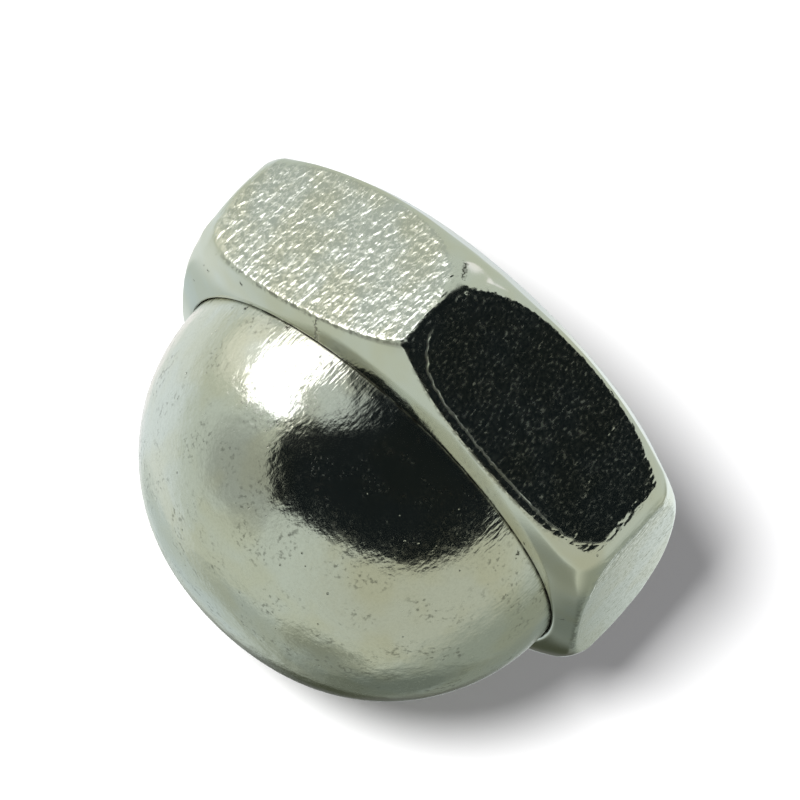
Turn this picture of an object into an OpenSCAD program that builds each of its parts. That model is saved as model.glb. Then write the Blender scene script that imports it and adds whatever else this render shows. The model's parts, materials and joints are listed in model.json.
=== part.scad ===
// Closed-end cap nut in two pressed-together pieces: a short hexagon body that is threaded from below,
// and a domed cap drawn from sheet, seated in the body's rim.
// Millimetres. The origin is the centre of the bearing face, and +Z runs along the thread to the dome.

/* [Hexagon body] */
// Width across two opposite flats
across_flats = 13; // [11:0.1:19]
// Height from the bearing face to the rim round the cap
body_h = 4.3; // [3.2:0.1:9]
// Radius along each of the six upright edges
corner_r = 0.5; // [0.1:0.05:1.2]
// Slope of the chamfer at both ends, from the plane of the bearing face
chamfer_angle = 30; // [15:1:40]
// Width of the chamfer at the middle of a flat, at the bearing end
bearing_chamfer = 0.55; // [0.2:0.05:1]
// Wall of the rim at the middle of a flat
rim_wall = 0.6; // [0.4:0.05:1]
// Width of the flat ring on top of the rim
rim_land = 0.06; // [0.02:0.01:0.2]

/* [Thread] */
// Nominal diameter of the metric thread
thread_d = 8; // [5:0.5:8.5]
// Pitch of the thread
thread_pitch = 1.25; // [0.5:0.05:1.5]
// How much wider than the thread the countersink is at its mouth
countersink_over = 0.6; // [0.2:0.1:1]
// Full angle of the countersink
countersink_angle = 120; // [90:5:120]

/* [Domed cap] */
// Thickness of the drawn sheet
cap_wall = 0.8; // [0.3:0.05:1]
// Depth of the cap's seat below the rim
seat_depth = 1; // [0.5:0.05:1.5]
// Radial gap between the cap and the rim
seam_gap = 0.05; // [0.02:0.01:0.1]
// Height of the cap above the rim
dome_h = 5.28; // [3.5:0.02:9]
// Straight wall of the cap between the rim and the shoulder
cap_straight = 0.03; // [0.01:0.01:1]
// Radius of the shoulder, between the straight wall and the crown
shoulder_r = 5.15; // [2:0.05:6]

/* [Hidden] */
$fn = 96;
flats = 6;
// How far a cut runs past the face that it opens
overrun = 1;
// How far each corner's round stands proud, so that it meets its two flats in a clean line
round_lap = 0.001;

// Hexagon
flat_r = across_flats / 2;
edge_centre_r = (flat_r - corner_r) / cos(180 / flats);
bar_r = flat_r / cos(180 / flats) + overrun;

// Seat of the cap in the body
recess_r = flat_r - rim_wall;
cap_r = recess_r - seam_gap;
seat_z = body_h - seat_depth;
rim_r = recess_r + rim_land;
bearing_r = flat_r - bearing_chamfer;

// Basic profile of the metric thread: the hole is 1.0825 pitches narrower than the nominal diameter
thread_minor_r = (thread_d - 1.0825 * thread_pitch) / 2;
mouth_r = (thread_d + countersink_over) / 2;
mouth_depth = (mouth_r - thread_minor_r) / tan(countersink_angle / 2);

// Dome of two arcs: a shoulder tangent to the straight wall, and a crown tangent to the shoulder.
// A dome that is taller than a hemisphere stands on a longer straight wall.
rise = min(dome_h - cap_straight, 0.995 * cap_r);
spring_z = body_h + dome_h - rise;
shoulder_fit_r = min(shoulder_r, 0.985 * rise);
shoulder_x = cap_r - shoulder_fit_r;
lack = cap_r - rise;
crown_drop = lack * (2 * shoulder_x - lack) / (2 * (shoulder_x - lack));
crown_r = rise + crown_drop;
blend_angle = atan2(crown_drop, shoulder_x);

// Hexagon with round corners, one flat facing the front
module rounded_hexagon() {
    tangent_points = [
        for (i = [0 : flats - 1], side = [-1, 1])
            let (
                corner = i * 360 / flats,
                facing = corner + side * 180 / flats
            )
            [
                edge_centre_r * cos(corner) + corner_r * cos(facing),
                edge_centre_r * sin(corner) + corner_r * sin(facing)
            ]
    ];
    polygon(tangent_points);
    for (i = [0 : flats - 1])
        rotate(i * 360 / flats)
            translate([edge_centre_r, 0])
                circle(r = corner_r + round_lap);
}

// Turned blank that gives the hexagon its two chamfers
module chamfered_bar() {
    slope = tan(chamfer_angle);
    rotate_extrude()
        polygon([
            [0, 0],
            [bearing_r, 0],
            [bar_r, (bar_r - bearing_r) * slope],
            [bar_r, body_h - (bar_r - rim_r) * slope],
            [rim_r, body_h],
            [0, body_h]
        ]);
}

// Countersunk thread hole, and the recess for the cap above it
module body_hollow() {
    rotate_extrude()
        polygon([
            [0, -overrun],
            [mouth_r, -overrun],
            [mouth_r, 0],
            [thread_minor_r, mouth_depth],
            [thread_minor_r, seat_z],
            [recess_r, seat_z],
            [recess_r, body_h + overrun],
            [0, body_h + overrun]
        ]);
}

// Half section of the cap's volume, a wall's thickness inside its outer face
module cap_half_section(wall, foot_z) {
    blend_x = shoulder_x + (shoulder_fit_r - wall) * cos(blend_angle);
    blend_z = spring_z + (shoulder_fit_r - wall) * sin(blend_angle);
    far = 2 * crown_r;
    polygon([
        [0, foot_z],
        [cap_r - wall, foot_z],
        [cap_r - wall, spring_z],
        [blend_x, blend_z],
        [0, blend_z]
    ]);
    intersection() {
        translate([shoulder_x, spring_z])
            circle(r = shoulder_fit_r - wall);
        polygon([
            [shoulder_x, spring_z],
            [shoulder_x + far, spring_z],
            [shoulder_x + far * cos(blend_angle), spring_z + far * sin(blend_angle)]
        ]);
    }
    intersection() {
        translate([0, spring_z - crown_drop])
            circle(r = crown_r - wall);
        translate([0, blend_z])
            square([blend_x, far]);
    }
}

module hex_body() {
    color([0.74, 0.75, 0.70])
        difference() {
            intersection() {
                linear_extrude(height = body_h)
                    rounded_hexagon();
                chamfered_bar();
            }
            body_hollow();
        }
}

module dome_cap() {
    color([0.78, 0.79, 0.74])
        rotate_extrude()
            difference() {
                cap_half_section(0, seat_z);
                cap_half_section(cap_wall, seat_z - overrun);
            }
}

hex_body();
dome_cap();
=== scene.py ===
"""A nickel plated cap nut: a threaded hexagon body and the drawn dome pressed into its rim.

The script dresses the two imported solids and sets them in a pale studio. Lengths are metres.
"""
import json
import math

import bpy
import numpy as np
from mathutils import Matrix, Vector


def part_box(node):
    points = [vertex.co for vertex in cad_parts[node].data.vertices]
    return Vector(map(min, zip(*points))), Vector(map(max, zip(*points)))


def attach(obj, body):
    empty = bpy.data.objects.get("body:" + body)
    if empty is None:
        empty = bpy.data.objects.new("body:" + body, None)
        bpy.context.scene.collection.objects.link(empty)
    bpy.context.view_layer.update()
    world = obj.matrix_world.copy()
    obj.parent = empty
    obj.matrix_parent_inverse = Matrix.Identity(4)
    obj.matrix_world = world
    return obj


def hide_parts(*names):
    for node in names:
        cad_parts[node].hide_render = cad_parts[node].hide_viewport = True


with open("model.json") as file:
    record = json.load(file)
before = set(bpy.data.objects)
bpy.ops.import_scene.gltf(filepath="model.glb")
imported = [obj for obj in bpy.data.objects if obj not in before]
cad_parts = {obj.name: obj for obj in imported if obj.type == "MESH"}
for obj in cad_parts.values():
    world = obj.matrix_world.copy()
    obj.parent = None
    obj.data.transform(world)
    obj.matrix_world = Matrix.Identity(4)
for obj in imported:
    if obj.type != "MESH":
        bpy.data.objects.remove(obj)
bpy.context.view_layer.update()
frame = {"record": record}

bl_info = {
    "name": "Cap nut",
    "version": (1, 0, 0),
    "blender": (4, 5, 0),
    "location": "View3D > Sidebar > Cap nut",
    "description": "Models a two-piece cap nut round its packed frame, and a studio for it",
    "category": "Add Mesh",
}

MM = 0.001
BODY_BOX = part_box("hex_body")
CAP_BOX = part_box("dome_cap")
THREAD_MOUNT = next(m for m in frame["record"]["mounts"] if m["name"] == "thread")


# ---------------------------------------------------------------- colours

def linear(hex_colour):
    """The linear RGBA of an sRGB hex colour such as "c0c4bc"."""
    channels = [int(hex_colour[i:i + 2], 16) / 255 for i in (0, 2, 4)]
    return [c / 12.92 if c <= 0.04045 else ((c + 0.055) / 1.055) ** 2.4 for c in channels] + [1.0]


# ---------------------------------------------------------------- sizes that a user would change

def length(name, millimetres, description):
    """A length property with its default in millimetres."""
    return bpy.props.FloatProperty(
        name=name, description=description, default=millimetres * MM,
        min=0.0, unit="LENGTH", precision=5)


def angle(name, degrees, description):
    """An angle property with its default in degrees."""
    return bpy.props.FloatProperty(
        name=name, description=description, default=math.radians(degrees), unit="ROTATION")


def colour(name, hex_colour, description):
    """A colour property with its default as an sRGB hex value."""
    return bpy.props.FloatVectorProperty(
        name=name, description=description, default=linear(hex_colour),
        size=4, subtype="COLOR", min=0.0, max=1.0)


class BodySizes(bpy.types.PropertyGroup):
    """Sizes of the hexagon body."""

    across_flats: length(
        "Across flats", (BODY_BOX[1].y - BODY_BOX[0].y) / MM, "Width across two opposite flats")
    height: length("Height", BODY_BOX[1].z / MM, "Bearing face to the top of the rim")
    rim_wall: length("Rim wall", 0.6, "Wall of the rim at the middle of a flat")
    seat_depth: length("Seat depth", 1.0, "Depth of the cap's seat below the rim")
    bearing_chamfer: length("Bearing chamfer", 0.55, "Chamfer width at the middle of a flat")
    pitch: length("Thread pitch", 1.25, "Height of one turn of the thread")
    countersink_over: length("Countersink", 0.6, "How much wider than the thread the mouth is")


class CapSizes(bpy.types.PropertyGroup):
    """Sizes of the drawn cap."""

    radius: length("Radius", CAP_BOX[1].x / MM, "Outer radius at the rim")
    foot: length("Foot", CAP_BOX[0].z / MM, "Height of the cap's edge, down in its seat")
    top: length("Top", CAP_BOX[1].z / MM, "Height of the crown")
    wall: length("Wall", 0.8, "Thickness of the sheet")
    straight: length("Straight", 0.03, "Upright wall between the rim and the shoulder")
    shoulder: length("Shoulder", 5.15, "Radius between the upright wall and the crown")


class FinishColours(bpy.types.PropertyGroup):
    """Colours of the metal and of what lies on it; the grime colour also paints shade into the seam."""

    nickel: colour("Nickel", "dfe1da", "Bright nickel plate, seen head on")
    tarnish: colour("Tarnish", "dddccd", "Nickel that has warmed in tone with age")
    # The grime colour also paints the shade in the seam between the rim and the cap
    grime_and_seam_shade: colour("Grime", "2b2a1f", "Dried oil and dust in the seam and the pits")


class StudioSettings(bpy.types.PropertyGroup):
    """Camera and light."""

    camera_turn: angle("Camera turn", 18.3, "Camera's turn about Z, from in front of a flat")
    camera_height: angle("Camera height", 16.17, "Camera's angle above the plane of the rim")
    camera_roll: angle("Camera roll", -136.54, "Roll about the line of sight, anticlockwise")
    camera_away: length("Camera distance", 166.9, "Camera to the centre of the rim")
    lens: bpy.props.FloatProperty(
        name="Lens", description="Focal length on a 36 mm sensor", default=304.9, unit="CAMERA")
    room: colour("Room", "c9d1c5", "Pale walls that the metal mirrors")
    paper: colour("Paper", "f3f3f3", "Matt paper that the nut lies on")
    fill: colour("Fill light", "8c8b8e", "Light that reaches the paper from all round")


# ---------------------------------------------------------------- helpers for meshes

# Vertices this close together are one, and an edge bent by more than this stays sharp
MEETS = 0.0001 * MM
SHARP_EDGE = math.radians(35)


def steps(count, start=0.0, end=1.0, close=False):
    """count evenly spaced shares from start towards end, which is left out unless close is set."""
    return np.linspace(start, end, count, endpoint=close)


def crowd(share, strength):
    """Draws shares of each whole number's span towards its two ends, by a strength from 0 to 1."""
    return share - strength / (2 * math.pi) * np.sin(2 * math.pi * share)


def smooth(share):
    """Eases a share, limited to 0..1, in and out."""
    t = np.clip(share, 0.0, 1.0)
    return t * t * (3 - 2 * t)


def pressed_sheet(name, bearing, radius, height):
    """A sheet of squares pressed round Z: radius and height have a row a station, a column a bearing.

    The sheet's last column falls on its first one, and so may its rows: where two vertices meet
    they are merged, which closes the piece.
    """
    bpy.ops.object.select_all(action="DESELECT")
    stations, columns = radius.shape
    bpy.ops.mesh.primitive_grid_add(
        x_subdivisions=columns, y_subdivisions=stations - 1, size=2, calc_uvs=False)
    sheet = bpy.context.object
    sheet.name = name
    sheet.data.name = name
    flat = np.zeros(len(sheet.data.vertices) * 3)
    sheet.data.vertices.foreach_get("co", flat)
    flat = flat.reshape(-1, 3)
    column = np.rint((flat[:, 0] + 1) / 2 * columns).astype(int) % columns
    station = np.rint((flat[:, 1] + 1) / 2 * (stations - 1)).astype(int)
    r = radius[station, column]
    turn = bearing[column]
    where = np.stack([r * np.cos(turn), r * np.sin(turn), height[station, column]], axis=1)
    sheet.data.vertices.foreach_set("co", where.ravel())
    sheet.data.update()
    return sheet, station, column


def paint(piece, name, shares):
    """Stores a value for each vertex as a float attribute."""
    layer = piece.data.attributes.new(name, "FLOAT", "POINT")
    layer.data.foreach_set("value", np.asarray(shares, np.float32))


def close_and_smooth(piece):
    """Merges what meets, turns the normals outward, and shades smooth except at sharp edges."""
    bpy.ops.object.select_all(action="DESELECT")
    piece.select_set(True)
    bpy.context.view_layer.objects.active = piece
    bpy.ops.object.mode_set(mode="EDIT")
    bpy.ops.mesh.select_all(action="SELECT")
    bpy.ops.mesh.remove_doubles(threshold=MEETS)
    bpy.ops.mesh.normals_make_consistent(inside=False)
    bpy.ops.object.mode_set(mode="OBJECT")
    bpy.ops.object.shade_smooth_by_angle(angle=SHARP_EDGE)


# ---------------------------------------------------------------- hexagon body

FLATS = 6
SECTOR = 2 * math.pi / FLATS
# Columns over each flat, and how strongly they crowd towards its two upright edges
FLAT_COLUMNS = 80
EDGE_CROWDING = 0.6
# The rim slopes most over the flats, where it is thin; at the corners it starts out flatter and
# then curves down, by a drop per square of the way out in 1/m
RIM_SLOPE = math.radians(24.5)
CORNER_SLOPE = math.radians(13)
CORNER_BULGE = 0.2 / MM
CHAMFER_SLOPE = math.radians(27)
COUNTERSINK_SLOPE = math.radians(60)
# How far the pressed rim leans in over the cap, how far its lip ends below the full height, and
# the lip's rounding with the angle that this sweeps from upright
LIP_LEAN = 0.035 * MM
LIP_DROP = 0.05 * MM
LIP_ROUND = 0.06 * MM
LIP_SWEEP = math.radians(105)
# Thread depth as a share of its pitch, by the metric profile
THREAD_DEPTH = 0.5413
# How far an upright edge's own rounding, and that of its tips, reaches before it fades
EDGE_REACH = 1.2 * MM
TIP_REACH = 0.8 * MM
# Depth in mm of each upright edge's rounding at the rim and at the bearing end, and how much more
# its tips have there, anticlockwise from +X. The last edge kept its sharp line at the rim.
EDGE_WIDTHS = (
    (0.18, 0.07, 0.35, 0.28),
    (0.3, 0.3, 0.2, 0.1),
    (0.3, 0.3, 0.2, 0.1),
    (0.24, 0.35, 0.3, 0.5),
    (0.45, 0.4, 0.0, 0.1),
    (0.04, 0.45, 0.0, 0.38),
)
# Depth of the rounding where the flats meet the rim, and where they meet the chamfer
RIM_CREASE = 0.08 * MM
FOOT_CREASE = 0.1 * MM
# How far a forged flat falls back from its middle by the time it reaches its edges
CROWN = 0.02 * MM
# Stations along each stretch of the section
LIP, RIM, SIDE, FOOT, FACE, SINK, THREAD, SEAT, WALL = 7, 20, 40, 14, 4, 20, 70, 2, 8


def rim_height(bearing, radius, sizes):
    """Height of the rim's upper face, which slopes down from its lip to the flats."""
    out = np.maximum(radius - (sizes.across_flats / 2 - sizes.rim_wall + LIP_ROUND), 0)
    corner = (1 + np.cos(FLATS * bearing)) / 2
    slope = math.tan(RIM_SLOPE) + (math.tan(CORNER_SLOPE) - math.tan(RIM_SLOPE)) * corner
    return sizes.height - LIP_DROP - slope * out - CORNER_BULGE * corner * out ** 2


def beyond_flat(turn, radius, height, sizes):
    """Distance of a place beyond a slightly crowned flat, at an angle from the flat's middle."""
    half = sizes.across_flats / 2
    aside = radius * np.sin(turn) / (half * math.tan(SECTOR / 2))
    aloft = 2 * height / sizes.height - 1
    return radius * np.cos(turn) - half + CROWN * (aside ** 2 + aloft ** 2)


def beyond_faces(bearing, radius, height, sizes):
    """Distance of a place beyond its own flat, and beyond the flat, the rim and the chamfer beside."""
    turn = np.abs(bearing % SECTOR - SECTOR / 2)
    own = beyond_flat(turn, radius, height, sizes)
    beside = beyond_flat(SECTOR - turn, radius, height, sizes)
    rim = (height - rim_height(bearing, radius, sizes)) * math.cos(RIM_SLOPE)
    out = radius - (sizes.across_flats / 2 - sizes.bearing_chamfer)
    foot = out * math.sin(CHAMFER_SLOPE) - height * math.cos(CHAMFER_SLOPE)
    return own, (beside, rim, foot)


def rounded(distances, width):
    """Distance beyond several faces at once, the edges between them rounded to a depth."""
    return np.sqrt(sum(np.maximum(d + width, 0) ** 2 for d in distances)) - width


def edge_width(bearing, radius, height, sizes):
    """Depth of the rounding at a place: each upright edge has its own, and the tips are rounder."""
    edge = np.rint(bearing / SECTOR).astype(int) % FLATS
    at_rim, at_bearing, rim_tip, bearing_tip = np.moveaxis(np.array(EDGE_WIDTHS)[edge] * MM, -1, 0)
    upright = at_bearing + (at_rim - at_bearing) * np.clip(height / sizes.height, 0, 1)
    aside = radius * np.sin(bearing - edge_bearing(bearing))
    corner_r = sizes.across_flats / 2 / math.cos(SECTOR / 2)
    up = height - rim_height(0, corner_r, sizes)
    down = height - (corner_r - sizes.across_flats / 2 + sizes.bearing_chamfer) * math.tan(
        CHAMFER_SLOPE)
    near_edge = np.exp(-(aside / EDGE_REACH) ** 2)
    crease = FOOT_CREASE + (RIM_CREASE - FOOT_CREASE) * np.clip(height / sizes.height, 0, 1)
    width = crease + (upright - crease) * near_edge
    return (width + rim_tip * np.exp(-(aside ** 2 + up ** 2) / TIP_REACH ** 2)
            + bearing_tip * np.exp(-(aside ** 2 + down ** 2) / TIP_REACH ** 2))


def edge_bearing(bearing):
    """Bearing of the nearest upright edge."""
    return np.rint(bearing / SECTOR) * SECTOR


def outer_stations(bearing, sizes):
    """The sharp section from the rim's lip to the bearing chamfer, as rows of radius and height."""
    half = sizes.across_flats / 2
    crease_r = half / np.cos(bearing % SECTOR - SECTOR / 2)
    crease_z = rim_height(bearing, crease_r, sizes)
    foot_z = (crease_r - half + sizes.bearing_chamfer) * math.tan(CHAMFER_SLOPE)
    start_r = half - sizes.rim_wall - LIP_LEAN + LIP_ROUND * 1.3
    end_r = half - sizes.bearing_chamfer * 0.9
    end_z = sizes.bearing_chamfer * 0.1 * math.tan(CHAMFER_SLOPE)
    rows = []
    for share in steps(RIM):
        r = start_r + (crease_r - start_r) * (1 - (1 - share) ** 1.25)
        rows.append((r, rim_height(bearing, r, sizes)))
    for share in crowd(steps(SIDE), 0.7):
        rows.append((crease_r, crease_z + (foot_z - crease_z) * share))
    for share in steps(FOOT, close=True):
        rows.append((crease_r + (end_r - crease_r) * share ** 1.3,
                     foot_z + (end_z - foot_z) * share ** 1.3))
    return np.array(rows).swapaxes(0, 1)


def round_over(bearing, radius, height, sizes):
    """Draws the sharp section in to the rounded one, by halving lines from a ring inside the wall."""
    inner_r, inner_z = 5.0 * MM, 2.1 * MM
    near, far = np.zeros_like(radius), np.ones_like(radius)
    for _ in range(26):
        middle = (near + far) / 2
        r = inner_r + (radius - inner_r) * middle
        z = inner_z + (height - inner_z) * middle
        own, beside = beyond_faces(bearing, r, z, sizes)
        outside = rounded((own, *beside), edge_width(bearing, r, z, sizes)) > 0
        near, far = np.where(outside, near, middle), np.where(outside, middle, far)
    return inner_r + (radius - inner_r) * near, inner_z + (height - inner_z) * near


def thread_radius(bearing, height, minor_r, pitch):
    """Radius of the right-hand metric thread's wall, its crests and roots rounded."""
    from_crest = np.abs((height / pitch - bearing / (2 * math.pi) + 0.5) % 1 - 0.5)
    return minor_r + THREAD_DEPTH * pitch * smooth((from_crest - 0.05) / 0.47)


def wider(one, other):
    """The larger of two radii, the edge between them blended."""
    blend = 0.06 * MM
    return (one + other + np.sqrt((one - other) ** 2 + blend ** 2)) / 2


def inner_stations(bearing, sizes):
    """The section from the bearing face up the countersunk thread to the cap's seat and the lip."""
    full = np.ones_like(bearing)
    half = sizes.across_flats / 2
    recess_r = half - sizes.rim_wall
    seat_z = sizes.height - sizes.seat_depth
    minor_r = THREAD_MOUNT["dims"]["r_mm"] * MM
    mouth_r = minor_r + THREAD_DEPTH * sizes.pitch + sizes.countersink_over / 2
    face_r = half - sizes.bearing_chamfer * 1.1
    sink_top = 1.2 * (mouth_r - minor_r) / math.tan(COUNTERSINK_SLOPE)
    rows = []
    for share in steps(FACE):
        rows.append((full * (face_r + (mouth_r - face_r) * share), full * 0))
    for share in steps(SINK):
        z = full * sink_top * share
        cone = mouth_r - z * math.tan(COUNTERSINK_SLOPE)
        rows.append((wider(cone, thread_radius(bearing, z, minor_r, sizes.pitch)), z))
    for share in steps(THREAD, close=True):
        z = full * (sink_top + (seat_z - sink_top) * share)
        rows.append((thread_radius(bearing, z, minor_r, sizes.pitch), z))
    seat_r = rows[-1][0]
    for share in steps(SEAT + 1)[1:]:
        rows.append((seat_r + (recess_r - seat_r) * share, full * seat_z))
    lip_z = sizes.height - LIP_DROP - LIP_ROUND
    for share in steps(WALL):
        rows.append((full * (recess_r - LIP_LEAN * share ** 4),
                     full * (seat_z + (lip_z - seat_z) * share)))
    for share in steps(LIP):
        swing = share * LIP_SWEEP
        rows.append((full * (recess_r - LIP_LEAN + LIP_ROUND * (1 - math.cos(swing))),
                     full * (lip_z + LIP_ROUND * math.sin(swing))))
    return np.array(rows).swapaxes(0, 1)


def model_body(sizes):
    """The body: a sheet pressed to a rounded hexagon with chamfers, a tapped hole and a seat."""
    bearing = crowd(steps(FLAT_COLUMNS * FLATS, 0, FLATS), EDGE_CROWDING) * SECTOR
    sharp_r, sharp_z = outer_stations(bearing, sizes)
    outer_r, outer_z = round_over(bearing, sharp_r, sharp_z, sizes)
    inner_r, inner_z = inner_stations(bearing, sizes)
    radius = np.concatenate([outer_r, inner_r, outer_r[:1]])
    height = np.concatenate([outer_z, inner_z, outer_z[:1]])
    # Painted on for the finish: the line where flats meet the rim, the flats themselves, the way
    # in from a flat's outline in mm below 0, and the seam, which gets dried oil and painted shade
    own, beside = beyond_faces(bearing, radius, height, sizes)
    width = edge_width(bearing, radius, height, sizes)
    crease_share = smooth(1 + own / (0.12 * MM)) * smooth(1 + beside[1] / (0.12 * MM))
    on_outside = (np.arange(len(radius)) < len(outer_r))[:, None]
    flat_share = smooth(((own + width) / width - 0.75) / 0.2) * on_outside
    outline = np.where(on_outside, rounded(beside, 1.0 * MM) / MM, 1.0)
    # The seam's mask, for dried oil and painted shade in the joint between the rim and the cap
    in_seam = smooth(1 - (radius - (sizes.across_flats / 2 - sizes.rim_wall)) / (0.03 * MM))
    seam_oil_and_shade_share = in_seam * (height > sizes.height - sizes.seat_depth - 0.1 * MM)
    body, station, column = pressed_sheet("threaded_body", bearing, radius, height)
    paint(body, "flat_share", flat_share[station, column])
    paint(body, "outline_mm", outline[station, column])
    paint(body, "crease_share", crease_share[station, column])
    paint(body, "seam_oil_and_shade_share", seam_oil_and_shade_share[station, column])
    close_and_smooth(body)
    return body


# ---------------------------------------------------------------- drawn cap

CAP_COLUMNS = 360
# Stations along the upright wall, each arc of the outer face, each arc of the inner face and the foot
UPRIGHT, OUTER_ARC, INNER_ARC, EDGE = 10, 60, 20, 4


def cap_face(sizes, inset, arc_steps):
    """Stations of the cap's face at an inset, from the crown down to the foot."""
    spring = BODY_BOX[1].z + sizes.straight
    rise = sizes.top - spring
    lack = sizes.radius - rise
    shoulder_x = sizes.radius - sizes.shoulder
    drop = lack * (2 * shoulder_x - lack) / (2 * (shoulder_x - lack))
    blend = math.atan2(drop, shoulder_x)
    crown, shoulder = rise + drop - inset, sizes.shoulder - inset
    stations = [(0.0, spring - drop + crown)]
    for lift in steps(arc_steps, math.pi / 2, blend)[1:]:
        stations.append((crown * math.cos(lift), spring - drop + crown * math.sin(lift)))
    for lift in steps(arc_steps, blend, 0):
        stations.append((
            shoulder_x + shoulder * math.cos(lift), spring + shoulder * math.sin(lift)))
    for share in steps(UPRIGHT, close=True):
        stations.append((sizes.radius - inset, spring + (sizes.foot - spring) * share))
    return stations


def model_cap(sizes):
    """The cap: a sheet drawn over a punch, with its inner face a wall's thickness inside."""
    outer = cap_face(sizes, 0, OUTER_ARC)
    inner = cap_face(sizes, sizes.wall, INNER_ARC)
    foot = [(sizes.radius - sizes.wall * share, sizes.foot) for share in steps(EDGE)[1:]]
    stations = np.array(outer + foot + inner[::-1])
    radius = np.repeat(stations[:, :1], CAP_COLUMNS, axis=1)
    height = np.repeat(stations[:, 1:], CAP_COLUMNS, axis=1)
    bearing = steps(CAP_COLUMNS, 0, 2 * math.pi)
    cap, station, column = pressed_sheet("drawn_cap", bearing, radius, height)
    # The cap is darkened where it goes down into its seat: dried oil and painted shade in the seam
    above_rim = height - BODY_BOX[1].z
    paint(cap, "seam_oil_and_shade_share", smooth((0.02 * MM - above_rim) / (0.06 * MM))[station, column])
    close_and_smooth(cap)
    return cap


# ---------------------------------------------------------------- materials

def add(tree, kind, inputs=(), **settings):
    """Adds a node. Inputs come by name or in order, each a value, a socket or a node to link."""
    made = tree.nodes.new(kind)
    for name, value in settings.items():
        setattr(made, name, value)
    live = [socket for socket in made.inputs if socket.enabled]
    named = inputs.items() if isinstance(inputs, dict) else enumerate(inputs)
    for key, value in named:
        socket = live[key] if isinstance(key, int) else next(s for s in live if s.name == key)
        if isinstance(value, bpy.types.Node):
            value = next(s for s in value.outputs if s.enabled)
        if isinstance(value, bpy.types.NodeSocket):
            tree.links.new(value, socket)
        else:
            socket.default_value = value
    return made


def new_material(name):
    """An empty node material and its tree."""
    material = bpy.data.materials.new(name)
    material.use_nodes = True
    tree = material.node_tree
    tree.nodes.clear()
    return material, tree


def grain(tree, place, wide, long, detail=1.0):
    """Noise round 0, drawn out along Z: wide and long are the size of its marks in mm."""
    drawn = add(tree, "ShaderNodeVectorMath", [place, (1, 1, wide / long)], operation="MULTIPLY")
    return add(tree, "ShaderNodeTexNoise", {
        "Vector": drawn, "Scale": 1 / (wide * MM), "Detail": detail}, normalize=False)


def near_line(tree, place, start, end, width):
    """Share that is 1 on the line between two places and 0 from a width in mm away."""
    way = end - start
    offset = add(tree, "ShaderNodeVectorMath", [place, start], operation="SUBTRACT")
    along = add(tree, "ShaderNodeVectorMath", [offset, way / way.length_squared],
                operation="DOT_PRODUCT")
    share = add(tree, "ShaderNodeMath", [along, 0.0], operation="MAXIMUM", use_clamp=True)
    foot = add(tree, "ShaderNodeVectorMath", {"Vector": way, "Scale": share}, operation="SCALE")
    gap = add(tree, "ShaderNodeVectorMath", [offset, foot], operation="DISTANCE")
    return add(tree, "ShaderNodeMapRange", {
        "Value": gap, "From Min": width * MM, "From Max": 0.0}, interpolation_type="SMOOTHSTEP")


def marks(tree, place, lines):
    """The union of several short ragged lines, each a start, an end and a width in mm."""
    shake = add(tree, "ShaderNodeTexNoise", {
        "Vector": place, "Scale": 1 / (0.09 * MM), "Detail": 1.0}, normalize=False)
    place = add(tree, "ShaderNodeVectorMath", [
        shake.outputs["Color"], Vector((1, 1, 1)) * 0.08 * MM, place], operation="MULTIPLY_ADD")
    made = near_line(tree, place, *lines[0])
    for line in lines[1:]:
        made = add(tree, "ShaderNodeMath", [made, near_line(tree, place, *line)], operation="MAXIMUM")
    return made


def pits(tree, place, spacing, share, largest):
    """Scattered pits: the spacing in mm, the share of cells that hold one, and the largest radius."""
    cells = add(tree, "ShaderNodeTexVoronoi", {"Vector": place, "Scale": 1 / (spacing * MM)})
    luck = add(tree, "ShaderNodeSeparateXYZ", [cells.outputs["Color"]])
    size = add(tree, "ShaderNodeMapRange", {
        "Value": luck, "From Min": 1 - share, "From Max": 1.0,
        "To Min": 0.0, "To Max": largest / spacing})
    inside = add(tree, "ShaderNodeMath", [size, cells.outputs["Distance"]], operation="SUBTRACT")
    return add(tree, "ShaderNodeMapRange", {
        "Value": inside, "From Max": 0.5 * largest / spacing}, interpolation_type="SMOOTHSTEP")


def blotches(tree, place, wide, long, least, full):
    """Soft spots where noise from 0 to 1 passes from a least to a full value."""
    drawn = add(tree, "ShaderNodeVectorMath", [place, (1, 1, wide / long)], operation="MULTIPLY")
    cloud = add(tree, "ShaderNodeTexNoise", {
        "Vector": drawn, "Scale": 1 / (wide * MM), "Detail": 2.0})
    return add(tree, "ShaderNodeMapRange", {
        "Value": cloud, "From Min": least, "From Max": full}, interpolation_type="SMOOTHSTEP")


def worn_surface(tree, layers):
    """One bump from several patterns, each with its height in mm, below 0 where it is sunk."""
    height = 0.0
    for pattern, rise in layers:
        height = add(tree, "ShaderNodeMath", [pattern, rise * MM, height], operation="MULTIPLY_ADD")
    return add(tree, "ShaderNodeBump", {"Strength": 1.0, "Distance": 1.0, "Height": height})


def seam_oil_and_shade(tree, place):
    """Dried oil and painted shade in the seam between the rim and the cap, patchy and fainter towards
    +X.
    """
    seam = add(tree, "ShaderNodeAttribute", attribute_name="seam_oil_and_shade_share").outputs["Fac"]
    across = add(tree, "ShaderNodeSeparateXYZ", [place]).outputs["X"]
    kept = add(tree, "ShaderNodeMapRange", {
        "Value": across, "From Min": 5.85 * MM, "From Max": 5.3 * MM, "To Min": 0.2, "To Max": 1.0})
    left = add(tree, "ShaderNodeMath", [
        blotches(tree, place, 0.35, 0.35, 0.35, 0.65), 0.55, 0.45], operation="MULTIPLY_ADD")
    return add(tree, "ShaderNodeMath", [
        seam, add(tree, "ShaderNodeMath", [kept, left], operation="MULTIPLY")],
        operation="MULTIPLY")


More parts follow.
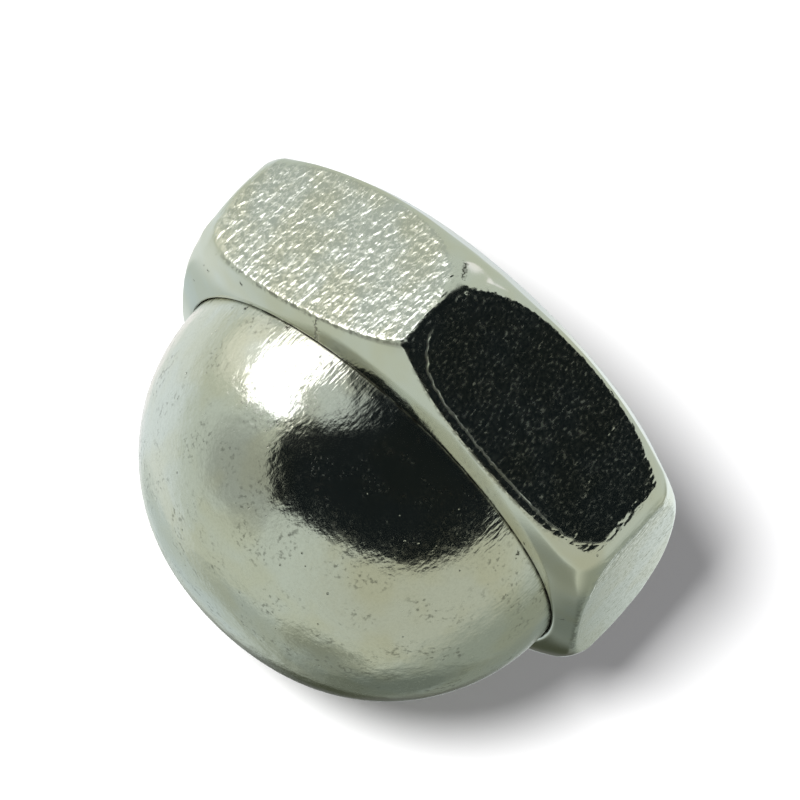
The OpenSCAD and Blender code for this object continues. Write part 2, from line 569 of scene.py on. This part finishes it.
def plated_metal(tree, finish, place, grime_and_seam_shade, matt, normal, roughness):
    """Nickel plate, warmer in places, with matt spots, its grime and the shade painted into the seam.
    """
    warmth = blotches(tree, place, 1.6, 1.6, 0.4, 0.62)
    nickel = add(tree, "ShaderNodeMix", {
        "Factor": warmth, "A": list(finish.nickel), "B": list(finish.tarnish)}, data_type="RGBA")
    tint = add(tree, "ShaderNodeMix", {
        "Factor": grime_and_seam_shade, "A": nickel, "B": list(finish.grime_and_seam_shade)}, data_type="RGBA")
    dull = add(tree, "ShaderNodeMath", [grime_and_seam_shade, matt], operation="MAXIMUM")
    rough = add(tree, "ShaderNodeMapRange", {"Value": dull, "To Min": roughness, "To Max": 0.45})
    metal = add(tree, "ShaderNodeBsdfPrincipled", {
        "Base Color": tint, "Metallic": 1.0, "Roughness": rough, "Normal": normal})
    add(tree, "ShaderNodeOutputMaterial", {"Surface": metal})


def polar(bearing, radius, height):
    """A place from its bearing in degrees, and its radius and height in mm."""
    turn = math.radians(bearing)
    return Vector((radius * math.cos(turn), radius * math.sin(turn), height)) * MM


def on_rim(bearing, radius):
    """A place on the rim's upper face, from its bearing in degrees and its radius in mm."""
    sizes = bpy.context.scene.capnut_body
    return polar(bearing, radius, float(rim_height(math.radians(bearing), radius * MM, sizes)) / MM)


def on_dome(bearing, height):
    """A place on the cap's shoulder, from its bearing in degrees and its height in mm."""
    sizes = bpy.context.scene.capnut_cap
    rise = height - (BODY_BOX[1].z + sizes.straight) / MM
    shoulder = sizes.shoulder / MM
    reach = math.sqrt(shoulder ** 2 - max(rise, 0) ** 2)
    return polar(bearing, (sizes.radius - sizes.shoulder) / MM + reach, height)


def on_flat(middle, aside, height):
    """A place on the flat round a bearing in degrees: its offset to the right and height in mm."""
    half = BODY_BOX[1].y / MM
    return polar(middle - math.degrees(math.atan2(aside, half)), math.hypot(aside, half), height)


def plated_steel_body(finish):
    """Barrel nickel plate on cold-formed steel: semi-bright, with the die's drag lines on the flats."""
    material, tree = new_material("nickel_plated_cold_formed_steel")
    place = add(tree, "ShaderNodeTexCoord").outputs["Object"]
    height = add(tree, "ShaderNodeSeparateXYZ", [place]).outputs["Z"]
    flat = add(tree, "ShaderNodeAttribute", attribute_name="flat_share").outputs["Fac"]
    outline = add(tree, "ShaderNodeAttribute", attribute_name="outline_mm").outputs["Fac"]
    crease = add(tree, "ShaderNodeAttribute", attribute_name="crease_share").outputs["Fac"]
    # Close dashes along the axis all over the flats, deeper in a border round each flat
    border = add(tree, "ShaderNodeMapRange", {
        "Value": outline, "From Min": -0.75, "From Max": -0.3, "To Min": 1.0, "To Max": 1.12},
        interpolation_type="SMOOTHSTEP")
    # The die was smoother on one side, where the dashes are faint
    across = add(tree, "ShaderNodeSeparateXYZ", [place]).outputs["X"]
    side = add(tree, "ShaderNodeMapRange", {
        "Value": across, "From Min": -4.8 * MM, "From Max": -3.6 * MM,
        "To Min": 0.02, "To Max": 1.0})
    depth = add(tree, "ShaderNodeMath", [
        flat, add(tree, "ShaderNodeMath", [border, side], operation="MULTIPLY")],
        operation="MULTIPLY")
    dashes = add(tree, "ShaderNodeMath", [grain(tree, place, 0.14, 0.24), depth], operation="MULTIPLY")
    fine = add(tree, "ShaderNodeMath", [grain(tree, place, 0.05, 0.07), depth], operation="MULTIPLY")
    streaks = add(tree, "ShaderNodeMath", [grain(tree, place, 0.2, 1.1), depth], operation="MULTIPLY")
    # Matt spots where the plate is thin on the dashes
    thin = add(tree, "ShaderNodeMath", [blotches(tree, place, 0.5, 0.5, 0.1, 0.55), flat],
               operation="MULTIPLY")
    spots = add(tree, "ShaderNodeMath", [blotches(tree, place, 0.08, 0.12, 0.4, 0.84), thin],
                operation="MULTIPLY")
    # The edge of the die's field left a fine bead inside the outline of one flat, near the rim
    shaky = add(tree, "ShaderNodeMath", [
        grain(tree, place, 0.3, 0.3), 0.05, outline], operation="MULTIPLY_ADD")
    off_bead = add(tree, "ShaderNodeMath", [
        add(tree, "ShaderNodeMath", [shaky, 0.2], operation="ADD")], operation="ABSOLUTE")
    ridge = add(tree, "ShaderNodeMapRange", {"Value": off_bead, "From Min": 0.06, "From Max": 0.0},
                interpolation_type="SMOOTHSTEP")
    near_rim = add(tree, "ShaderNodeMapRange", {
        "Value": height, "From Min": 2.4 * MM, "From Max": 3.0 * MM}, interpolation_type="SMOOTHSTEP")
    one_flat = add(tree, "ShaderNodeMapRange", {
        "Value": across, "From Min": 3.85 * MM, "From Max": 3.65 * MM})
    there = add(tree, "ShaderNodeMath", [
        add(tree, "ShaderNodeMath", [near_rim, flat], operation="MULTIPLY"),
        add(tree, "ShaderNodeMath", [one_flat, side], operation="MULTIPLY")], operation="MULTIPLY")
    bead = add(tree, "ShaderNodeMath", [ridge, there], operation="MULTIPLY")
    # A fold across the rolled rim, then single specks on the rim, a nick at a corner and one on a flat
    fold = marks(tree, place, [
        (on_rim(-40.0, 6.0), on_rim(-39.6, 6.6), 0.05),
        (on_rim(-40.4, 5.98), on_rim(-40.0, 6.2), 0.1)])
    specks = marks(tree, place, [
        (on_rim(0.7, 6.72), on_rim(0.5, 6.7), 0.05), (on_rim(-0.6, 6.57), on_rim(-0.9, 6.58), 0.06),
        (on_rim(10.3, 6.43), on_rim(10.4, 6.4), 0.05), (on_rim(-14.7, 6.41), on_rim(-14.7, 6.44), 0.06),
        (on_rim(-144.6, 6.14), on_rim(-144.6, 6.17), 0.08),
        (polar(-57.4, 7.11, 0.88), polar(-58.2, 7.17, 1.02), 0.11),
        (polar(-58.2, 7.17, 1.0), polar(-59.3, 7.27, 1.25), 0.08),
        (on_flat(-150, -1.45, 0.55), on_flat(-150, -1.3, 0.57), 0.06)])
    # Dried oil gathers in a thin broken line where the flats meet the rim
    dirty = add(tree, "ShaderNodeMath", [
        blotches(tree, place, 0.13, 0.13, 0.42, 0.6), crease], operation="MULTIPLY")
    pocks = pits(tree, place, 0.5, 0.4, 0.05)
    bump = worn_surface(tree, [
        (grain(tree, place, 0.09, 0.09), 0.0002), (streaks, 0.01), (dashes, 0.0075), (fine, 0.0006),
        (bead, 0.012), (fold, -0.03), (pocks, -0.006)])
    # The seam's dried oil and painted shade, with the marks' stains on top
    soiling_and_seam_shade = seam_oil_and_shade(tree, place)
    for stain, share in ((specks, 1.0), (fold, 0.5), (pocks, 0.35), (dirty, 0.65)):
        faint = add(tree, "ShaderNodeMath", [stain, share], operation="MULTIPLY")
        soiling_and_seam_shade = add(tree, "ShaderNodeMath", [soiling_and_seam_shade, faint], operation="MAXIMUM")
    matt = add(tree, "ShaderNodeMath", [spots, bead], operation="MAXIMUM")
    plated_metal(tree, finish, place, soiling_and_seam_shade, matt, bump, 0.11)
    return material


def plated_steel_cap(finish):
    """Barrel nickel plate on drawn sheet: smooth with fine pits, and draw lines above the rim."""
    material, tree = new_material("nickel_plated_drawn_steel")
    place = add(tree, "ShaderNodeTexCoord").outputs["Object"]
    height = add(tree, "ShaderNodeSeparateXYZ", [place]).outputs["Z"]
    # Draw lines run up the dome: the pattern turns with the bearing and changes slowly with height
    level = add(tree, "ShaderNodeVectorMath", [place, (1.0, 1.0, 0.0)], operation="MULTIPLY")
    round_z = add(tree, "ShaderNodeVectorMath", {
        "Vector": add(tree, "ShaderNodeVectorMath", [level], operation="NORMALIZE"),
        "Scale": 5.6 * MM}, operation="SCALE")
    rise = add(tree, "ShaderNodeVectorMath", [place, (0.0, 0.0, 1.0)], operation="MULTIPLY")
    unrolled = add(tree, "ShaderNodeVectorMath", [round_z, rise], operation="ADD")
    low = add(tree, "ShaderNodeMapRange", {
        "Value": height, "From Min": 6.2 * MM, "From Max": 4.3 * MM}, interpolation_type="SMOOTHSTEP")
    lines = add(tree, "ShaderNodeMath", [
        grain(tree, unrolled, 0.07, 0.35),
        add(tree, "ShaderNodeMath", [low, 2.0], operation="POWER")], operation="MULTIPLY")
    # Turned, so that the noise's own rows don't follow the dome
    turned = add(tree, "ShaderNodeMapping", {"Vector": place, "Rotation": (0.6, 0.4, 0.8)})
    # Small pits everywhere, clusters of brownish stains, a faint haze and fields of matt spots
    pocks = pits(tree, place, 0.3, 0.5, 0.045)
    dents = pits(tree, place, 0.7, 0.5, 0.12)
    fields = blotches(tree, place, 0.9, 0.9, 0.45, 0.65)
    stains = add(tree, "ShaderNodeMath", [
        blotches(tree, turned, 0.12, 0.12, 0.5, 0.72), fields], operation="MULTIPLY")
    haze = blotches(tree, turned, 0.07, 0.07, 0.35, 0.8)
    spots = add(tree, "ShaderNodeMath", [
        blotches(tree, turned, 0.08, 0.08, 0.5, 0.85), blotches(tree, turned, 0.8, 0.8, 0.4, 0.65)],
        operation="MULTIPLY")
    # Single specks in the seam and on the dome, with a hair crack, and two long scratches
    specks = marks(tree, place, [
        (on_dome(-14.9, 4.33), on_dome(-15.1, 4.33), 0.1),
        (on_dome(-30.5, 4.33), on_dome(-31.0, 4.33), 0.1),
        (on_dome(-129.9, 4.33), on_dome(-130.1, 4.33), 0.08),
        (on_dome(-147.4, 4.33), on_dome(-147.6, 4.33), 0.08),
        (on_dome(-121.6, 5.23), on_dome(-121.8, 5.23), 0.08),
        (on_dome(-113.8, 4.43), on_dome(-114.0, 4.43), 0.07),
        (on_dome(-9.2, 4.41), on_dome(-12.3, 4.58), 0.015)])
    scratches = marks(tree, place, [
        (on_dome(-10.2, 5.36), on_dome(-11.2, 4.95), 0.025),
        (on_dome(-38.0, 5.99), on_dome(-38.8, 5.09), 0.03)])
    bump = worn_surface(tree, [
        (grain(tree, place, 0.5, 0.5), 0.006), (grain(tree, place, 0.1, 0.16, 2.0), 0.0016),
        (lines, 0.003), (pocks, -0.01), (dents, -0.004), (scratches, -0.004)])
    # The seam's dried oil and painted shade, with the marks' stains on top
    soiling_and_seam_shade = seam_oil_and_shade(tree, place)
    for stain, share in ((specks, 1.0), (pocks, 0.45), (stains, 0.5), (haze, 0.08)):
        faint = add(tree, "ShaderNodeMath", [stain, share], operation="MULTIPLY")
        soiling_and_seam_shade = add(tree, "ShaderNodeMath", [soiling_and_seam_shade, faint], operation="MAXIMUM")
    plated_metal(tree, finish, place, soiling_and_seam_shade, spots, bump, 0.13)
    return material


def glowing(name, hex_colour, strength):
    """A card that gives off an even light."""
    material, tree = new_material(name)
    light = add(tree, "ShaderNodeEmission", {"Color": linear(hex_colour), "Strength": strength})
    add(tree, "ShaderNodeOutputMaterial", {"Surface": light})
    return material


def matt_paper(settings):
    """White paper, seen from its front only, so that the nut can also be looked at from behind."""
    material, tree = new_material("matt_white_paper")
    paper = add(tree, "ShaderNodeBsdfDiffuse", {"Color": list(settings.paper)})
    clear = add(tree, "ShaderNodeBsdfTransparent")
    behind = add(tree, "ShaderNodeNewGeometry").outputs["Backfacing"]
    mixed = add(tree, "ShaderNodeMixShader", [behind, paper, clear])
    add(tree, "ShaderNodeOutputMaterial", {"Surface": mixed})
    return material


# ---------------------------------------------------------------- studio

CARD_AWAY = 150 * MM
# The key light: degrees round from the camera and up, its distance, width and power
KEY_TURN, KEY_LIFT = -13.2, 17.3
KEY_AWAY = 250 * MM
KEY_WIDTH = 50 * MM
KEY_WATTS = 0.95
# How far the camera stands to the right of the rim's centre and above it, as the camera sees it
CAMERA_RIGHT = 0.754 * MM
CAMERA_UP = 1.762 * MM
# Paper under the nut: its width, and the hair's breadth between it and the flat that lies on it
PAPER_WIDTH = 500 * MM
PAPER_GAP = 0.01 * MM
# Where the room that the metal mirrors is lighter or darker: degrees round from the camera and up,
# the angles at which the patch is full and gone, and its colour
ROOM_PATCHES = (
    (75, 30, 20, 62, "bec2b1"),
    (-147, 3, 12, 42, "e6efee"),
    (-78, 52, 8, 31, "a4aaa0"),
    (130, 0, 10, 37, "969e91"),
    (175, 32, 6, 20, "adb6ac"),
    (-172, 14, 6, 18, "c4d0cd"),
    (153, 15, 5, 24, "6c746a"),
    (153, 41, 3, 15, "8b9286"),
    (152, -8, 6, 16, "8a938a"),
    (171, -5, 5, 14, "5f625b"),
    (170, 6, 2, 9, "454a3c"),
    (138, -29, 6, 16, "aab0a2"),
    (-90, -4, 8, 22, "eff3e8"),
    (-87, -25, 8, 16, "b8c0b8"),
    (180, -26, 8, 20, "e4ebec"),
    (160, -31.6, 12.5, 17, "f4fdfb"),
    (-166, -15, 5, 14, "ffffff"),
    (-55, -80, 4, 7, "ffffff"),
    (-26, 0, 16, 32, "10161a"),
    (-38, 3, 0, 22, "c4ccc4"),
)


def toward(settings, turn, lift):
    """Unit direction from the nut: turned about Z from the camera, and lifted from the rim's plane."""
    bearing = settings.camera_turn - math.pi / 2 - math.radians(turn)
    lift = math.radians(lift)
    return Vector((
        math.cos(bearing) * math.cos(lift), math.sin(bearing) * math.cos(lift), math.sin(lift)))


def card(settings, name, outline, material):
    """A card whose corners lie in the given directions. Only the metal's reflections see it."""
    corners = [toward(settings, turn, lift) * CARD_AWAY for turn, lift in outline]
    mesh = bpy.data.meshes.new(name)
    mesh.from_pydata(corners, [], [range(len(corners))])
    made = bpy.data.objects.new(name, mesh)
    bpy.context.scene.collection.objects.link(made)
    mesh.materials.append(material)
    made.visible_camera = False
    made.visible_diffuse = False
    made.visible_shadow = False


def hang_cards(settings):
    """A bright softbox and a dark flag beside the camera, which the metal mirrors."""
    card(settings, "softbox",
         [(-74, -12), (-50, -19), (-45, -12), (-47, -4), (-50, 3), (-54, 9), (-49, 16), (-48, 25),
          (-70, 21), (-83, 17), (-81, 0)],
         glowing("softbox_light", "ffffff", 2.5))
    card(settings, "dark_flag",
         [(-44, -19), (-36, -25), (0, -42), (72, -42), (67, -23), (52, -11), (54, 15), (55, 35),
          (33, 52), (8, 61), (-50, 62), (-52, 30), (-48, 27), (-34, 20), (-15, 14), (-13, -14),
          (-44, -17)],
         glowing("black_velvet", "0f1517", 1.0))


def lay_paper(settings):
    """A sheet of paper under the nut, which lies on the flat that faces away from the camera."""
    bpy.ops.object.select_all(action="DESELECT")
    bpy.ops.mesh.primitive_plane_add(
        size=PAPER_WIDTH, location=(0, BODY_BOX[1].y + PAPER_GAP, 0),
        rotation=(math.radians(90), 0, 0))
    paper = bpy.context.object
    paper.name = "paper_sheet"
    paper.data.materials.append(matt_paper(settings))
    paper.visible_glossy = False


def light_room(settings):
    """A pale room with lighter and darker parts, and a soft key light that throws the shadow."""
    world = bpy.data.worlds.new("studio_room")
    world.use_nodes = True
    tree = world.node_tree
    tree.nodes.clear()
    direction = add(tree, "ShaderNodeTexCoord").outputs["Generated"]
    room = list(settings.room)
    for turn, lift, full, gone, hex_colour in ROOM_PATCHES:
        facing = add(tree, "ShaderNodeVectorMath", [direction, toward(settings, turn, lift)],
                     operation="DOT_PRODUCT")
        share = add(tree, "ShaderNodeMapRange", {
            "Value": facing, "From Min": math.cos(math.radians(gone)),
            "From Max": math.cos(math.radians(full))}, interpolation_type="SMOOTHSTEP")
        room = add(tree, "ShaderNodeMix", {
            "Factor": share, "A": room, "B": linear(hex_colour)}, data_type="RGBA")
    # The camera sees white, and the paper gets a little neutral light from all round
    ray = add(tree, "ShaderNodeLightPath")
    fill = add(tree, "ShaderNodeMix", {
        "Factor": ray.outputs["Is Diffuse Ray"], "A": room, "B": list(settings.fill)},
        data_type="RGBA")
    seen = add(tree, "ShaderNodeMix", {
        "Factor": ray.outputs["Is Camera Ray"], "A": fill, "B": (1.0, 1.0, 1.0, 1.0)},
        data_type="RGBA")
    background = add(tree, "ShaderNodeBackground", {"Color": seen})
    add(tree, "ShaderNodeOutputWorld", {"Surface": background})
    bpy.context.scene.world = world
    lamp = bpy.data.lights.new("key_light", "AREA")
    lamp.shape = "DISK"
    lamp.size = KEY_WIDTH
    lamp.energy = KEY_WATTS
    key = bpy.data.objects.new("key_light", lamp)
    bpy.context.scene.collection.objects.link(key)
    aim = toward(settings, KEY_TURN, KEY_LIFT)
    key.location = aim * KEY_AWAY
    key.rotation_euler = aim.to_track_quat("Z", "Y").to_euler()
    key.visible_glossy = False


def set_camera(settings):
    """A long lens a little above the rim's plane, rolled so that the dome hangs to the lower left."""
    data = bpy.data.cameras.new("camera")
    data.lens = settings.lens
    data.clip_start = 0.01
    data.clip_end = 2.0
    camera = bpy.data.objects.new("camera", data)
    bpy.context.scene.collection.objects.link(camera)
    back = toward(settings, 0, math.degrees(settings.camera_height))
    turned = back.to_track_quat("Z", "Y").to_matrix() @ Matrix.Rotation(settings.camera_roll, 3, "Z")
    right, up = turned.col[0], turned.col[1]
    rim = Vector((0, 0, BODY_BOX[1].z))
    place = rim + back * settings.camera_away + right * CAMERA_RIGHT + up * CAMERA_UP
    camera.matrix_world = Matrix.Translation(place) @ turned.to_4x4()
    bpy.context.scene.camera = camera
    bpy.context.scene.view_settings.view_transform = "Standard"


# ---------------------------------------------------------------- operators and panel

class CAPNUT_OT_hex_body(bpy.types.Operator):
    """Model the threaded hexagon body and give it its finish"""

    bl_idname = "capnut.hex_body"
    bl_label = "Hexagon body"

    def execute(self, context):
        body = model_body(context.scene.capnut_body)
        body.data.materials.append(plated_steel_body(context.scene.capnut_finish))
        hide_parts("hex_body")
        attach(body, "root")
        return {"FINISHED"}


class CAPNUT_OT_dome_cap(bpy.types.Operator):
    """Model the drawn cap and give it its finish"""

    bl_idname = "capnut.dome_cap"
    bl_label = "Domed cap"

    def execute(self, context):
        cap = model_cap(context.scene.capnut_cap)
        cap.data.materials.append(plated_steel_cap(context.scene.capnut_finish))
        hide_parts("dome_cap")
        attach(cap, "root")
        return {"FINISHED"}


class CAPNUT_OT_studio(bpy.types.Operator):
    """Lay the paper, light the room and set the camera"""

    bl_idname = "capnut.studio"
    bl_label = "Studio"

    def execute(self, context):
        settings = context.scene.capnut_studio
        lay_paper(settings)
        light_room(settings)
        hang_cards(settings)
        set_camera(settings)
        return {"FINISHED"}


class CAPNUT_PT_sidebar(bpy.types.Panel):
    """Sizes, colours and steps of the cap nut"""

    bl_idname = "CAPNUT_PT_sidebar"
    bl_label = "Cap nut"
    bl_space_type = "VIEW_3D"
    bl_region_type = "UI"
    bl_category = "Cap nut"

    def draw(self, context):
        for group, operators in PANEL_ROWS:
            box = self.layout.box()
            settings = getattr(context.scene, group)
            for name in settings.__annotations__:
                box.prop(settings, name)
            for operator in operators:
                box.operator(operator.bl_idname)


GROUPS = {
    "capnut_body": BodySizes,
    "capnut_cap": CapSizes,
    "capnut_finish": FinishColours,
    "capnut_studio": StudioSettings,
}
OPERATORS = (CAPNUT_OT_hex_body, CAPNUT_OT_dome_cap, CAPNUT_OT_studio)
PANEL_ROWS = (
    ("capnut_body", (CAPNUT_OT_hex_body,)),
    ("capnut_cap", (CAPNUT_OT_dome_cap,)),
    ("capnut_finish", ()),
    ("capnut_studio", (CAPNUT_OT_studio,)),
)
CLASSES = (*GROUPS.values(), *OPERATORS, CAPNUT_PT_sidebar)


def register():
    for made in CLASSES:
        bpy.utils.register_class(made)
    for name, group in GROUPS.items():
        setattr(bpy.types.Scene, name, bpy.props.PointerProperty(type=group))


def unregister():
    for name in GROUPS:
        delattr(bpy.types.Scene, name)
    for made in reversed(CLASSES):
        bpy.utils.unregister_class(made)


def main():
    register()
    bpy.ops.capnut.hex_body()
    bpy.ops.capnut.dome_cap()
    bpy.ops.capnut.studio()


if __name__ == "__main__":
    main()
